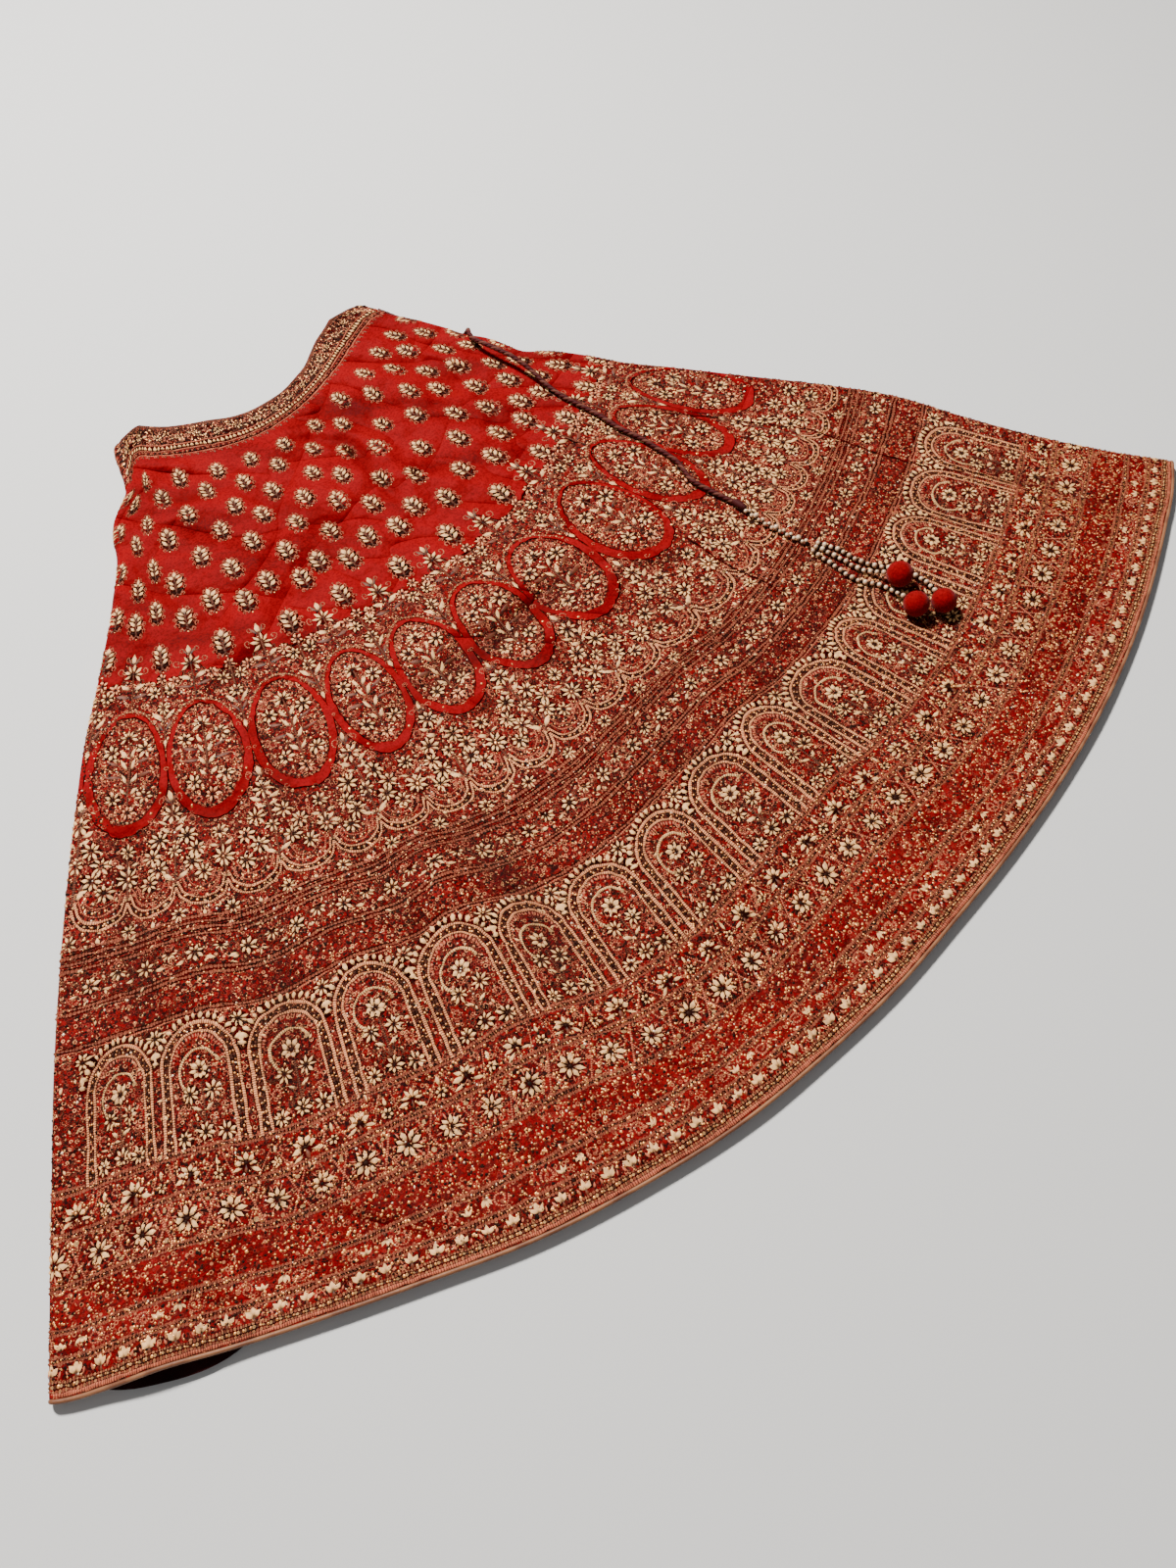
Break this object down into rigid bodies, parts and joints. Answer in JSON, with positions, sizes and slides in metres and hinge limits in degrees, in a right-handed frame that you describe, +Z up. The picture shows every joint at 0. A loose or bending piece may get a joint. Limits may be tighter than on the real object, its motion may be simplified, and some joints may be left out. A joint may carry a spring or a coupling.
{
  "type": "lehenga skirt",
  "caption": "Long flared skirt of tapering gores laid flat, with a curved waistband, embroidered silk, piped hem and a beaded drawstring ending in felt pom-poms.",
  "frame": {"origin": "middle of the laid-out skirt's outline, on the surface it lies on; the drawstring and its tassel are left out", "axes": "+X across the skirt towards the side where the drawstring lies, +Y from the hem to the waist, +Z up out of the front"},
  "size_m": [1.4718, 1.0872, 0.0388],
  "materials": {
    "red_silk": "red silk with woven and embroidered gold and cream ornament",
    "gold_piping": "antique gold woven piping",
    "dark_lining": "matt dark maroon lining",
    "twisted_cord": "twisted red cord",
    "red_felt": "matt red felt",
    "pearl_beads": "pearl and clear glass-like beads on thread"
  },
  "bodies": {
    "root": {"gore_01": "red_silk", "gore_02": "red_silk", "gore_03": "red_silk", "gore_04": "red_silk", "gore_05": "red_silk", "gore_06": "red_silk", "gore_07": "red_silk", "gore_08": "red_silk", "gore_09": "red_silk", "gore_10": "red_silk", "waistband_front": "red_silk", "waistband_back": "red_silk", "hem_piping_front": "gold_piping", "hem_piping_back": "gold_piping", "lining_hem": "dark_lining", "drawstring": "twisted_cord", "cord_cap": "red_felt", "bead_stem": "pearl_beads", "bead_strand_1": "pearl_beads", "bead_strand_2": "pearl_beads", "bead_strand_3": "pearl_beads", "pompom_1": "red_felt", "pompom_2": "red_felt", "pompom_3": "red_felt"}
  },
  "joints": []
}
